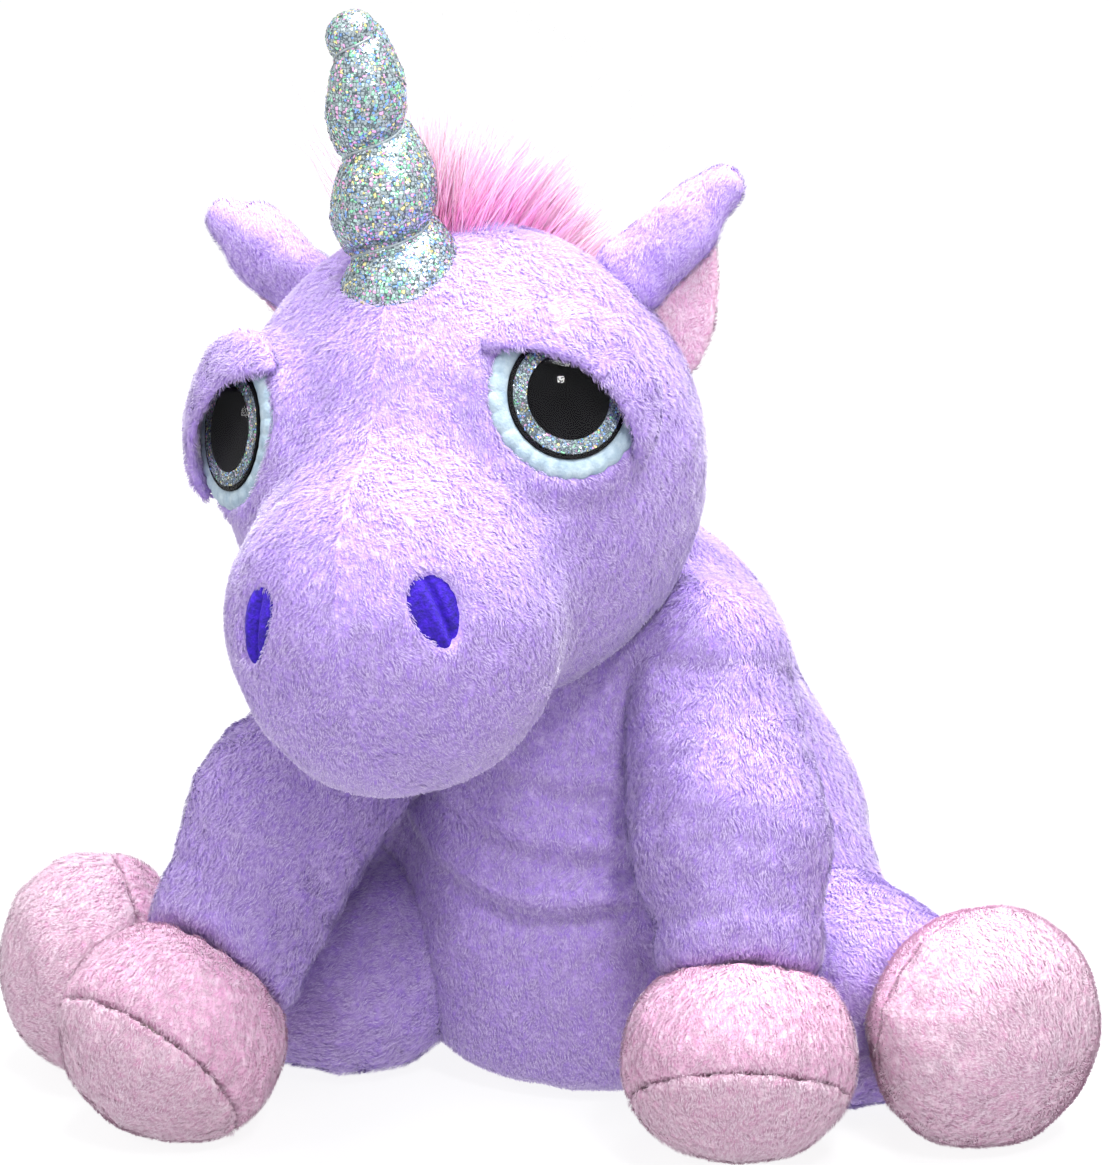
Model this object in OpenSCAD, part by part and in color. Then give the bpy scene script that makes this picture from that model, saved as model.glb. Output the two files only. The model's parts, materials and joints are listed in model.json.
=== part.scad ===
/* [Torso] */
// Widest radius of the pear-shaped torso
torso_r = 66; // [60:1:70]
// Height of the torso's widest section above the seat
torso_belly_z = 58; // [54:1:62]
// Height from the widest section to the top of the neck end
torso_rise = 124; // [116:1:128]
// Slouch of the torso towards its front, in degrees
torso_lean = 8; // [4:1:10]
// Height to which the pellet bag fills the seat
pellet_fill_z = 44; // [36:1:50]

/* [Head] */
// Radius of the cranium
cranium_r = 64; // [62:1:65]
// Radius of the muzzle ball
muzzle_r = 44; // [40:1:45]
// Distance from the cranium's centre forward to the muzzle's centre
muzzle_reach = 64; // [58:1:66]
// Drop of the muzzle's centre below the cranium's centre
muzzle_drop = 30; // [26:1:32]
// Sideways tilt of the head towards its right ear, in degrees
head_tilt = 9; // [5:1:11]
// Turn of the face towards its left, in degrees
head_turn = 2; // [0:1:4]

/* [Eyes] */
// Radius of the clear eye dome
dome_r = 16.1; // [14:0.1:17]
// Height of the clear eye dome
dome_h = 7.5; // [6:0.5:9]
// Radius of the black pupil disc
pupil_r = 9.6; // [8:0.1:11]
// Outer radius of the glitter iris ring
iris_r = 14.8; // [13:0.1:15]
// Radius of the pale surround behind the dome
surround_r = 20.8; // [19:0.1:21.5]

/* [Horn] */
// Length of the horn's cone outside the forehead
horn_len = 73; // [60:1:80]
// Radius of the horn at its base
horn_base_r = 16; // [13:0.5:17]
// Radius of the horn at its tip
horn_tip_r = 6; // [4:0.5:7]
// Turns of the thread that cinches the horn
thread_turns = 2.5; // [2:0.5:4]

/* [Ears and mane] */
// Length of an ear from its lobe to its tip
ear_len = 62; // [54:1:64]
// Width of an ear
ear_w = 36; // [30:1:38]
// Height of the mane's pile above the crown
mane_pile = 28; // [20:1:30]
// Width of the mane's strip
mane_w = 26; // [20:1:30]

/* [Legs] */
// Radius of a foreleg
foreleg_r = 21.5; // [19:0.5:21.5]
// Radius of a hind leg at the ankle
hindleg_r = 21; // [19:0.5:21.5]
// Radius of a hind leg where it enters the hip
thigh_r = 27; // [25:0.5:27.5]
// Radius of a front hoof
fore_hoof_r = 31; // [28:0.5:31]
// Radius of a hind hoof
hind_hoof_r = 31; // [28:0.5:31]

/* [Fabric] */
// Thickness of the plush with its backing
skin_t = 2; // [1.6:0.2:2.4]
// Gap between pieces on different moving bodies
body_gap = 0.5; // [0.4:0.1:0.8]

/* [Hidden] */
LEGS = ["foreleg_left", "foreleg_right", "hindleg_left", "hindleg_right"];
LEG_PIECES = ["skin", "stuffing", "hoof", "sole", "pellets"];
EYE_PIECES = ["surround", "backplate", "washer", "iris", "pupil", "dome", "lid"];
SIDES = ["left", "right"];

lilac = [0.78, 0.68, 0.90];
pink = [0.92, 0.74, 0.84];
white = [0.93, 0.94, 0.95];
silver = [0.72, 0.76, 0.78];
ink = [0.08, 0.08, 0.09];
violet = [0.20, 0.02, 0.75];

far = 400;          // longer than the whole toy, for cutting halves away
slip = 0.2;         // clearance between nested pieces of one body
fine = 72;          // sides of the large round shapes
medium = 48;        // sides of the small round shapes

head_at = [-27, -58, 176.5];
muzzle_at = [0, -muzzle_reach, -muzzle_drop];
torso_foot = [3, 2, 0];
torso_side_lean = -5.5;
torso_taper = 0.24;
torso_drop = torso_belly_z + 10;

neck_ball_r = 20;
neck_stub_r = 14;
neck_hole_r = 16;
neck_hole_angle = 20;
neck_pitch = 37;         // lean of the neck's axis towards the face

eye_place = [47, 19];    // angle from straight ahead and angle above the level
eye_facing = [42, 15];
eye_lift = 0.8;
surround_t = 1.2;
backplate_t = 1.5;
iris_t = 0.4;
stem_r = 3;
stem_len = 14;
washer_r = 9;
washer_t = 1.5;
washer_depth = 5;
lid_inner_r = 22.5;
lid_t = 3.5;
lid_edge = 5;

nostril_place = [37, 13];
nostril_r = 6.5;
nostril_t = 1.8;

horn_rise = 60;          // angle of the horn's root above straight ahead
horn_tip_forward = 6;
horn_sink = 4;
thread_r = 0.7;
thread_clear = 0.3;
thread_sides = 6;
thread_steps = 24;

mane_from = 84;          // angles round the crown, from straight ahead
mane_to = 165;

ear_at = [65, 24, 38];    // middle of the left ear, in the head's frame
ear_lean_back = 28;
ear_splay = 11;
ear_clear = 2;
ear_shell_t = 3;
ear_lining_t = 1.5;

tail_root = [2, 72, 50];
tail_len = 56;
tail_r = 14;

hoof_top = 22;           // from a hoof's centre back to its ankle seam
hoof_seam = 9;           // from a hoof's centre on to its sole seam
sole_bulge = 17;

// pivot, then hoof centre, root radius, ankle radius, hoof radius, swing limit, swing is level
function leg_data(leg) =
  leg == "foreleg_left" ? [[41, -30, 118], [60, -88, 27], 20, foreleg_r, fore_hoof_r, 30, false] :
  leg == "foreleg_right" ? [[-55, -34, 98], [-89, -123, 27], 20, foreleg_r, fore_hoof_r, 30, false] :
  leg == "hindleg_left" ? [[48, -6, 38], [117, -49, 31], thigh_r, hindleg_r, hind_hoof_r, 30, true] :
  [[-53, -20, 39], [-125, -73, 30], thigh_r, hindleg_r, hind_hoof_r - 1, 30, true];
function leg_pivot(leg) = leg_data(leg)[0];
function leg_reach(leg) = leg_data(leg)[1] - leg_data(leg)[0];
function level_len(v) = norm([v[0], v[1]]);
function leg_bearing(leg) = atan2(leg_reach(leg)[0], -leg_reach(leg)[1]);
function leg_droop(leg) = atan2(-leg_reach(leg)[2], level_len(leg_reach(leg)));
function leg_len(leg) = norm(leg_reach(leg));
function swing_sign(leg) = leg_data(leg)[0][0] > 0 ? 1 : -1;

function arc(centre, radius, from, to, steps) =
  [for (i = [0:steps]) let (a = from + (to - from) * i / steps) centre + radius * [cos(a), sin(a)]];

module below(z) { translate([-far / 2, -far / 2, z - far]) cube(far); }

module on_sphere(place, radius) {
  rotate([0, 0, place[0]]) rotate([90 - place[1], 0, 0]) translate([0, 0, radius]) children();
}

module in_head() { translate(head_at) rotate([0, -head_tilt, head_turn]) children(); }

// ---- torso ----

// Pear outline turned about the torso's leaning axis, drawn in by inset
module pear(inset) {
  function pear_point(a) =
    let (rise = (a > 0 ? torso_rise : torso_drop) - inset)
    [(torso_r - inset) * cos(a) * (1 - torso_taper * sin(a)), torso_belly_z + rise * sin(a)];
  outline_steps = 16;
  translate(torso_foot) rotate([torso_lean, torso_side_lean, 0])
    rotate_extrude($fn = fine)
      polygon([for (i = [0:outline_steps]) pear_point(-90 + 180 * i / outline_steps)]);
}

// Space that a leg sweeps where it enters the torso, grown by spare
module leg_room(leg, spare) {
  root = leg_data(leg)[2] + spare;
  swing = leg_data(leg)[5];
  level = leg_data(leg)[6];
  droop = leg_droop(leg);
  outward = swing_sign(leg) * swing;
  wide = max(root, leg_data(leg)[3] + spare);
  fan = level ? [0, outward] : [-droop, swing - droop];
  function along(a, side) = far / 4 * [cos(a), sin(a)] + wide * side * [-sin(a), cos(a)];
  function beside(a, side) = wide * side * [-sin(a), cos(a)];
  low = min(fan);
  high = max(fan);
  translate(leg_pivot(leg)) {
    sphere(root, $fn = fine);
    rotate([0, 0, leg_bearing(leg)])
      if (level)
        rotate([0, 0, -90])
          translate([0, 0, -wide]) linear_extrude(2 * wide)
            polygon([beside(low, -1), along(low, -1), along(high, 1), beside(high, 1)]);
      else
        rotate([90, 0, -90])
          translate([0, 0, -wide]) linear_extrude(2 * wide)
            polygon([beside(low, -1), along(low, -1), along(high, 1), beside(high, 1)]);
  }
}

// Everything that moves against the torso, grown by spare
module torso_pockets(spare) {
  translate(head_at) sphere(cranium_r + spare, $fn = fine);
  for (leg = LEGS) leg_room(leg, spare);
}

module torso_skin() {
  color(lilac) difference() {
    pear(0);
    below(0);
    difference() { pear(skin_t); below(skin_t); }
    torso_pockets(body_gap);
  }
}

module torso_filling(inset) {
  difference() {
    pear(skin_t + slip);
    torso_pockets(body_gap + inset);
    children();
  }
}

module torso_stuffing() {
  color(white) torso_filling(skin_t) below(pellet_fill_z + slip);
}

module seat_pellets() {
  color(silver) torso_filling(skin_t) {
    below(skin_t + slip);
    translate([0, 0, pellet_fill_z + far]) below(0);
  }
}

module tail() {
  root_r = 7;
  color(pink) difference() {
    translate(tail_root) rotate([180, 0, 0]) rotate_extrude($fn = medium)
      polygon(concat(arc([0, 0], root_r, -90, 0, 8),
        [[tail_r, tail_len * 0.4], [tail_r * 0.7, tail_len * 0.7], [0, tail_len * 0.76]]));
    pear(-slip);
  }
}

// ---- neck ----

module on_neck() { translate(head_at) rotate([neck_pitch, 0, 0]) children(); }

module neck_stuffing() {
  color(white) on_neck() {
    sphere(neck_ball_r, $fn = fine);
    translate([0, 0, -cranium_r]) cylinder(h = cranium_r, r = neck_stub_r, $fn = medium);
  }
}

// Opening under the head that the neck stub leaves through
module neck_opening() {
  reach = cranium_r * 1.2;
  on_neck() rotate_extrude($fn = fine)
    polygon([[0, 0], [neck_hole_r, 0], [neck_hole_r + reach * tan(neck_hole_angle), -reach], [0, -reach]]);
}

// ---- head ----

module head_form(inset) {
  in_head() {
    sphere(cranium_r - inset, $fn = fine);
    translate(muzzle_at) sphere(muzzle_r - inset, $fn = fine);
  }
}

module on_eye(side) {
  s = side == "left" ? 1 : -1;
  in_head()
    on_sphere([s * eye_place[0], eye_place[1]], cranium_r + eye_lift)
      rotate([90 - eye_place[1], 0, 0] * -1) rotate([0, 0, -s * eye_place[0]])
        rotate([0, 0, s * eye_facing[0]]) rotate([90 - eye_facing[1], 0, 0]) children();
}

module head_skin() {
  color(lilac) difference() {
    head_form(0);
    head_form(skin_t);
    neck_opening();
    for (side = SIDES)
      on_eye(side) translate([0, 0, -stem_len]) cylinder(h = far / 10, r = stem_r + slip, $fn = medium);
  }
}

module head_stuffing() {
  color(white) difference() {
    head_form(skin_t + slip);
    neck_opening();
    translate(head_at) sphere(neck_ball_r + body_gap, $fn = fine);
    for (side = SIDES)
      on_eye(side)
        translate([0, 0, -stem_len - slip]) cylinder(h = far / 10, r = washer_r + slip, $fn = medium);
  }
}

module nostril(side) {
  s = side == "left" ? 1 : -1;
  color(violet) in_head() translate(muzzle_at)
    on_sphere([s * nostril_place[0], nostril_place[1]], muzzle_r + slip)
      cylinder(h = nostril_t, r = nostril_r, $fn = medium);
}

module mane() {
  root_r = cranium_r + slip;
  tip_r = cranium_r + mane_pile;
  color(pink) in_head() rotate([90, 0, -90]) rotate([0, 0, mane_from])
    rotate_extrude(angle = mane_to - mane_from, $fn = fine)
      polygon([[root_r, -mane_w / 2], [tip_r, -mane_w / 4], [tip_r, mane_w / 4], [root_r, mane_w / 2]]);
}

// ---- horn ----

module on_horn() {
  in_head() rotate([90 - horn_rise, 0, 0]) translate([0, 0, cranium_r - horn_sink])
    rotate([horn_rise - 90 + horn_tip_forward, 0, 0]) children();
}

module horn_cone(inset) {
  tip_round = horn_tip_r - inset;
  top = horn_len - horn_tip_r;
  rotate_extrude($fn = medium)
    polygon(concat([[0, -horn_base_r], [horn_base_r - inset, -horn_base_r], [horn_base_r - inset, 0]],
      arc([0, top], tip_round, 0, 90, 8)));
}

module horn_skin() {
  color(silver) difference() {
    on_horn() difference() { horn_cone(0); horn_cone(skin_t); }
    in_head() sphere(cranium_r + slip, $fn = fine);
  }
}

module horn_stuffing() {
  color(white) difference() {
    on_horn() horn_cone(skin_t + slip);
    in_head() sphere(cranium_r + slip, $fn = fine);
  }
}

// Thread wound up the horn, swept as one tube along a conical helix
module horn_thread() {
  rings = thread_turns * thread_steps;
  from_z = 12;
  to_z = horn_len - 2 * horn_tip_r;
  function level(i) = from_z + (to_z - from_z) * i / rings;
  function cone_r(z) =
    horn_base_r + (horn_tip_r - horn_base_r) * z / (horn_len - horn_tip_r) + thread_r + thread_clear;
  function ring(i) =
    let (a = 360 * i / thread_steps, z = level(i))
    [for (k = [0:thread_sides - 1]) let (b = 360 * k / thread_sides, r = cone_r(z) + thread_r * cos(b))
      [r * cos(a), r * sin(a), z + thread_r * sin(b)]];
  points = [for (i = [0:rings]) each ring(i)];
  sides = [for (i = [0:rings - 1], k = [0:thread_sides - 1]) let (n = (k + 1) % thread_sides)
    [i * thread_sides + k, (i + 1) * thread_sides + k, (i + 1) * thread_sides + n, i * thread_sides + n]];
  cap = [for (k = [0:thread_sides - 1]) k];
  end_cap = [for (k = [thread_sides - 1:-1:0]) rings * thread_sides + k];
  color(silver) on_horn() polyhedron(points, concat([cap], sides, [end_cap]));
}

// ---- eyes ----

module eye_surround() {
  difference() {
    cylinder(h = surround_t, r = surround_r, $fn = fine);
    translate([0, 0, -slip]) cylinder(h = surround_t + 2 * slip, r = stem_r + slip, $fn = medium);
  }
}

module eye_backplate() {
  translate([0, 0, surround_t]) cylinder(h = backplate_t, r = dome_r, $fn = fine);
  translate([0, 0, -stem_len]) cylinder(h = stem_len + surround_t + slip, r = stem_r, $fn = medium);
}

module eye_washer() {
  running = 0.05;
  translate([0, 0, -washer_depth - washer_t]) difference() {
    cylinder(h = washer_t, r = washer_r, $fn = medium);
    translate([0, 0, -slip]) cylinder(h = washer_t + 2 * slip, r = stem_r + running, $fn = medium);
  }
}

module eye_iris() {
  translate([0, 0, surround_t + backplate_t]) difference() {
    cylinder(h = iris_t, r = iris_r, $fn = fine);
    translate([0, 0, -slip]) cylinder(h = iris_t + 2 * slip, r = pupil_r, $fn = fine);
  }
}

module eye_pupil() {
  translate([0, 0, surround_t + backplate_t]) cylinder(h = iris_t, r = pupil_r, $fn = fine);
}

module eye_dome() {
  ball_r = (dome_r * dome_r + dome_h * dome_h) / (2 * dome_h);
  foot = surround_t + backplate_t + iris_t;
  translate([0, 0, foot]) intersection() {
    translate([0, 0, dome_h - ball_r]) sphere(ball_r, $fn = fine);
    cylinder(h = dome_h, r = dome_r, $fn = fine);
  }
}

module eye_lid(side) {
  difference() {
    on_eye(side) difference() {
      sphere(lid_inner_r + lid_t, $fn = fine);
      sphere(lid_inner_r, $fn = fine);
      translate([-far / 2, lid_edge - far, -far / 2]) cube(far);
    }
    in_head() sphere(cranium_r + slip, $fn = fine);
  }
}

module eye(side, piece) {
  if (piece == "surround") color(white) on_eye(side) eye_surround();
  if (piece == "backplate") color(ink) on_eye(side) eye_backplate();
  if (piece == "washer") color(white) on_eye(side) eye_washer();
  if (piece == "iris") color(silver) on_eye(side) eye_iris();
  if (piece == "pupil") color(ink) on_eye(side) eye_pupil();
  if (piece == "dome") color(silver, 0.4) on_eye(side) eye_dome();
  if (piece == "lid") color(lilac) eye_lid(side);
}

// ---- ears ----

// Leaf outline: two equal arcs that meet at the tip and at the lobe
module ear_leaf(margin) {
  half_len = ear_len / 2;
  half_w = ear_w / 2;
  r = (half_len * half_len + half_w * half_w) / (2 * half_w);
  intersection_for(s = [-1, 1]) translate([s * (r - half_w), 0]) circle(r - margin, $fn = fine);
}

module ear(side, piece) {
  s = side == "left" ? 1 : -1;
  in_head() difference() {
    mirror([s < 0 ? 1 : 0, 0, 0])
      translate(ear_at) rotate([-ear_lean_back, ear_splay, 0]) rotate([90, 0, 0])
        if (piece == "shell") color(lilac) linear_extrude(ear_shell_t) ear_leaf(0);
        else color(pink) translate([0, 0, ear_shell_t + slip]) linear_extrude(ear_lining_t) ear_leaf(2);
    sphere(cranium_r + ear_clear, $fn = fine);
  }
}

// ---- legs ----

// Places its children with +Z from the leg's pivot to the hoof's centre
module along_leg(leg) {
  translate(leg_pivot(leg)) rotate([0, 0, leg_bearing(leg)]) rotate([90 + leg_droop(leg), 0, 0]) children();
}

module leg_form(leg, inset) {
  root = leg_data(leg)[2] - inset;
  ankle = leg_data(leg)[3] - inset;
  end = leg_len(leg) - hoof_top;
  rotate_extrude($fn = fine)
    polygon(concat(arc([0, 0], root, -90, 0, 12), [[ankle, end * 0.5], [ankle, end], [0, end]]));
}

// Bun turned about the leg's axis: round shoulders, a domed sole
module hoof_form(leg, inset) {
  r = leg_data(leg)[4] - inset;
  ankle = leg_data(leg)[3] - inset;
  middle = leg_len(leg);
  top = middle - hoof_top + inset;
  start = -acos(ankle / r);
  rise = (hoof_top - inset) / sin(-start);
  steps = 12;
  dome = hoof_seam + sole_bulge - inset;
  function side_point(a) = [r * cos(a), middle + (a < 0 ? rise : dome) * sin(a)];
  rotate_extrude($fn = fine)
    polygon(concat([[0, top]], [for (i = [0:steps]) side_point(start + (90 - start) * i / steps)]));
}

module hoof_piece(leg, from, to) {
  difference() {
    along_leg(leg) difference() {
      intersection() {
        hoof_form(leg, 0);
        translate([-far / 2, -far / 2, from]) cube([far, far, to - from]);
      }
      hoof_form(leg, skin_t);
    }
    below(0);
  }
}

module leg(leg, piece) {
  seam = leg_len(leg) + hoof_seam;
  end = leg_len(leg) - hoof_top;
  if (piece == "skin")
    color(lilac) along_leg(leg) difference() {
      leg_form(leg, 0);
      leg_form(leg, skin_t);
      translate([0, 0, end - 2 * skin_t]) cylinder(h = far / 10, r = leg_data(leg)[3] - skin_t, $fn = fine);
    }
  if (piece == "stuffing") color(white) along_leg(leg) leg_form(leg, skin_t + slip);
  if (piece == "hoof") color(pink) hoof_piece(leg, end + slip, seam);
  if (piece == "sole") color(pink) hoof_piece(leg, seam + slip / 2, seam + far / 4);
  if (piece == "pellets")
    color(silver) difference() {
      along_leg(leg) hoof_form(leg, skin_t + slip);
      below(skin_t + slip);
    }
}

torso_skin();
torso_stuffing();
seat_pellets();
tail();
neck_stuffing();
head_skin();
head_stuffing();
horn_skin();
horn_stuffing();
horn_thread();
mane();
for (side = SIDES) {
  for (piece = EYE_PIECES) eye(side, piece);
  nostril(side);
  for (piece = ["shell", "lining"])
    ear(side, piece);
}
for (name = LEGS, piece = LEG_PIECES)
  leg(name, piece);
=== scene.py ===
import itertools
import json
import math

import bpy
import numpy as np
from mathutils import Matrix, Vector


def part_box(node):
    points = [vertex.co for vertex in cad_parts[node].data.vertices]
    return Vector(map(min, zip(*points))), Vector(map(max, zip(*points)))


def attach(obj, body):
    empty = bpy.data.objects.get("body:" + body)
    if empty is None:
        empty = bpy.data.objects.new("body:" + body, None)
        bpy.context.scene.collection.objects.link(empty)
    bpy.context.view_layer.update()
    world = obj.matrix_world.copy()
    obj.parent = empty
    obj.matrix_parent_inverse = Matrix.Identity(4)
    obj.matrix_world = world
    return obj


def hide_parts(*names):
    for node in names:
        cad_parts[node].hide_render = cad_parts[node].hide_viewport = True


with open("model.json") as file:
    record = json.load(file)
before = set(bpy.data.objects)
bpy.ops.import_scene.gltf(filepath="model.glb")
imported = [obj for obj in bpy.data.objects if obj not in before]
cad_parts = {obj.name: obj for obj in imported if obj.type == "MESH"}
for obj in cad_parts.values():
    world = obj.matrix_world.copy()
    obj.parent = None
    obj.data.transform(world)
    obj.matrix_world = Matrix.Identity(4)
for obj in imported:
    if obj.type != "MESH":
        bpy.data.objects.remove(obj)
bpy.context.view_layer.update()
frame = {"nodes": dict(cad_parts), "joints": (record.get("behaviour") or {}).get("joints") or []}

# Shapes are worked out in millimetres in the row frame, and meshes are written in metres.
MM = 0.001
FLOOR_GAP = 0.3
SIDES = {"left": 1, "right": -1}
LEGS = ("foreleg_left", "foreleg_right", "hindleg_left", "hindleg_right")
joints = {j["name"]: j for j in frame["joints"]}


# ---- small vector helpers ----

def turn_x(degrees):
    c, s = math.cos(math.radians(degrees)), math.sin(math.radians(degrees))
    return np.array([[1, 0, 0], [0, c, -s], [0, s, c]])


def turn_y(degrees):
    c, s = math.cos(math.radians(degrees)), math.sin(math.radians(degrees))
    return np.array([[c, 0, s], [0, 1, 0], [-s, 0, c]])


def turn_z(degrees):
    c, s = math.cos(math.radians(degrees)), math.sin(math.radians(degrees))
    return np.array([[c, -s, 0], [s, c, 0], [0, 0, 1]])


def unit(v):
    v = np.asarray(v, float)
    return v / np.maximum(np.linalg.norm(v, axis=-1, keepdims=True), 1e-9)


class Place:
    """A frame set in another one: local points to row-frame points and back."""

    def __init__(self, origin, axes):
        self.origin = np.asarray(origin, float)
        self.axes = np.asarray(axes, float)

    def out(self, q):
        return np.asarray(q, float) @ self.axes.T + self.origin

    def into(self, p):
        return (np.asarray(p, float) - self.origin) @ self.axes

    def child(self, origin, axes):
        return Place(self.out(origin), self.axes @ axes)


def circle(count, whole=2 * math.pi):
    """Angles evenly spaced round a circle."""
    return np.linspace(0, whole, count + 1)[:-1]


def facing(azimuth, elevation):
    """Direction at an angle from straight ahead (-Y) and an angle above the level."""
    a, e = math.radians(azimuth), math.radians(elevation)
    return np.array([math.sin(a) * math.cos(e), -math.cos(a) * math.cos(e), math.sin(e)])


# ---- signed distance shapes ----

def soft_union(a, b, k):
    h = np.maximum(k - np.abs(a - b), 0) / k
    return np.minimum(a, b) - h * h * k / 4


def soft_cut(a, b, k):
    return -soft_union(-a, -b, k)


def ball(p, centre, r):
    return np.linalg.norm(p - np.asarray(centre, float), axis=-1) - r


def limb(p, a, b, ra, rb):
    a, b = np.asarray(a, float), np.asarray(b, float)
    d = b - a
    t = np.clip(((p - a) @ d) / (d @ d), 0, 1)
    return np.linalg.norm(p - a - t[..., None] * d, axis=-1) - (ra + (rb - ra) * t)


def bell(x, width):
    return np.exp(-((x / width) ** 2))


def lumps(p, size, seed):
    """Smooth noise from -1 to 1 with lumps of about that size."""
    rng = np.random.default_rng(seed)
    total = np.zeros(len(p))
    for _ in range(7):
        wave = unit(rng.normal(size=3)) * (2 * math.pi / size) * rng.uniform(0.6, 1.5)
        total += np.sin(p @ wave + rng.uniform(0, 6.28))
    return total / 4


# ---- surfaces from shapes ----

def surface(shape, lo, hi, step):
    """Quads over the zero level of a shape (surface nets), settled onto it and evened out."""
    axes = [np.arange(lo[k], hi[k] + step, step) for k in range(3)]
    grid = np.stack(np.meshgrid(*axes, indexing="ij"), -1)
    n = grid.shape[:3]
    inside = shape(grid.reshape(-1, 3)).reshape(n) < 0
    count = sum(
        inside[i:n[0] - 1 + i, j:n[1] - 1 + j, k:n[2] - 1 + k].astype(int)
        for i, j, k in itertools.product((0, 1), repeat=3)
    )
    active = (count > 0) & (count < 8)
    index = np.full(active.shape, -1)
    index[active] = np.arange(active.sum())
    verts = (np.argwhere(active) + 0.5) * step + np.array([a[0] for a in axes])
    quads = []
    for axis in range(3):
        u, v = [k for k in range(3) if k != axis]
        one = np.moveaxis(inside, (axis, u, v), (0, 1, 2))
        cells = np.moveaxis(index, (axis, u, v), (0, 1, 2))
        a, b = one[:-1, 1:-1, 1:-1], one[1:, 1:-1, 1:-1]
        for crossing, flip in ((a & ~b, axis == 1), (~a & b, axis != 1)):
            i, j, k = np.nonzero(crossing)
            ring = [cells[i, j, k], cells[i, j + 1, k], cells[i, j + 1, k + 1], cells[i, j, k + 1]]
            ring = np.stack(ring, 1)
            quads.append(ring[:, ::-1] if flip else ring)
    quads = np.concatenate(quads)
    for _ in range(3):
        verts = settle(shape, evened(verts, quads), 2)
    return verts, quads


def evened(verts, faces):
    a, b = faces.reshape(-1), np.roll(faces, -1, 1).reshape(-1)
    n = len(verts)
    share = np.bincount(a, minlength=n) + np.bincount(b, minlength=n)
    total = np.stack(
        [np.bincount(a, verts[b, k], n) + np.bincount(b, verts[a, k], n) for k in range(3)], -1)
    return 0.5 * verts + 0.5 * total / np.maximum(share, 1)[:, None]


def slope(shape, p, h=0.3):
    return np.stack([shape(p + h * e) - shape(p - h * e) for e in np.eye(3)], -1) / (2 * h)


def settle(shape, p, rounds):
    for _ in range(rounds):
        g = slope(shape, p)
        p = p - (np.clip(shape(p), -3, 3) / np.maximum((g * g).sum(-1), 0.3))[:, None] * g
    return p


def face_normals(verts, faces):
    a, b = verts[faces[:, 2]] - verts[faces[:, 0]], verts[faces[:, -1]] - verts[faces[:, 1]]
    return np.cross(a, b)


def vertex_normals(verts, faces):
    n = face_normals(verts, faces)
    total = np.stack(
        [sum(np.bincount(faces[:, c], n[:, k], len(verts)) for c in range(faces.shape[1])) for k in range(3)],
        -1)
    return unit(total)


# ---- Blender objects ----

def new_object(name, verts, faces, material=(), which=None, normals=None):
    """A mesh object from millimetre points and one array of faces, or a list of such arrays."""
    groups = faces if isinstance(faces, list) else [faces]
    corners = np.concatenate([g.reshape(-1) for g in groups]).astype(np.int32)
    sizes = np.concatenate([np.full(len(g), g.shape[1]) for g in groups])
    mesh = bpy.data.meshes.new(name)
    mesh.vertices.add(len(verts))
    mesh.vertices.foreach_set("co", (np.asarray(verts, float) * MM).reshape(-1))
    mesh.loops.add(len(corners))
    mesh.loops.foreach_set("vertex_index", corners)
    mesh.polygons.add(len(sizes))
    mesh.polygons.foreach_set("loop_start", np.concatenate([[0], np.cumsum(sizes)[:-1]]).astype(np.int32))
    mesh.update(calc_edges=True)
    mesh.shade_smooth()
    for m in material:
        mesh.materials.append(m)
    if which is not None:
        mesh.polygons.foreach_set("material_index", np.asarray(which, np.int32))
    if normals is not None:
        mesh.normals_split_custom_set_from_vertices(normals)
    obj = bpy.data.objects.new(name, mesh)
    bpy.context.scene.collection.objects.link(obj)
    return obj


CLOTH_FRAMES = 20


def plumped(verts, quads, pinned, cap):
    """Where a short cloth simulation, blown up by its filling, moves the points of a closed skin."""
    obj = new_object("cloth_run", verts, quads)
    group = obj.vertex_groups.new(name="sewn")
    group.add([int(i) for i in np.nonzero(pinned)[0]], 1.0, "REPLACE")
    cloth = obj.modifiers.new("cloth", "CLOTH")
    cloth.settings.quality = 4
    cloth.settings.mass = 0.3
    cloth.settings.use_pressure = True
    cloth.settings.uniform_pressure_force = 4.0
    cloth.settings.effector_weights.gravity = 0
    cloth.settings.vertex_group_mass = "sewn"
    cloth.settings.bending_stiffness = 0.2
    cloth.settings.shrink_min = -0.02
    cloth.point_cache.frame_start = 1
    cloth.point_cache.frame_end = CLOTH_FRAMES
    scene = bpy.context.scene
    for number in range(1, CLOTH_FRAMES + 1):
        scene.frame_set(number)
    result = obj.evaluated_get(bpy.context.evaluated_depsgraph_get())
    co = np.zeros(len(verts) * 3)
    result.data.vertices.foreach_get("co", co)
    moved = co.reshape(-1, 3) / MM - verts
    far = np.linalg.norm(moved, axis=1, keepdims=True)
    scene.frame_set(1)
    mesh = obj.data
    bpy.data.objects.remove(obj)
    bpy.data.meshes.remove(mesh)
    return verts + moved * np.minimum(1, cap / np.maximum(far, 1e-6))


def refined(verts, faces):
    """One Catmull-Clark subdivision."""
    obj = new_object("refine_run", verts, faces)
    sub = obj.modifiers.new("sub", "SUBSURF")
    sub.levels = 1
    mesh = bpy.data.meshes.new_from_object(obj.evaluated_get(bpy.context.evaluated_depsgraph_get()))
    co = np.zeros(len(mesh.vertices) * 3)
    mesh.vertices.foreach_get("co", co)
    corners = np.zeros(len(mesh.loops), np.int32)
    mesh.loops.foreach_get("vertex_index", corners)
    old = obj.data
    bpy.data.objects.remove(obj)
    for m in (old, mesh):
        bpy.data.meshes.remove(m)
    return co.reshape(-1, 3) / MM, corners.reshape(-1, 4)


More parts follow.
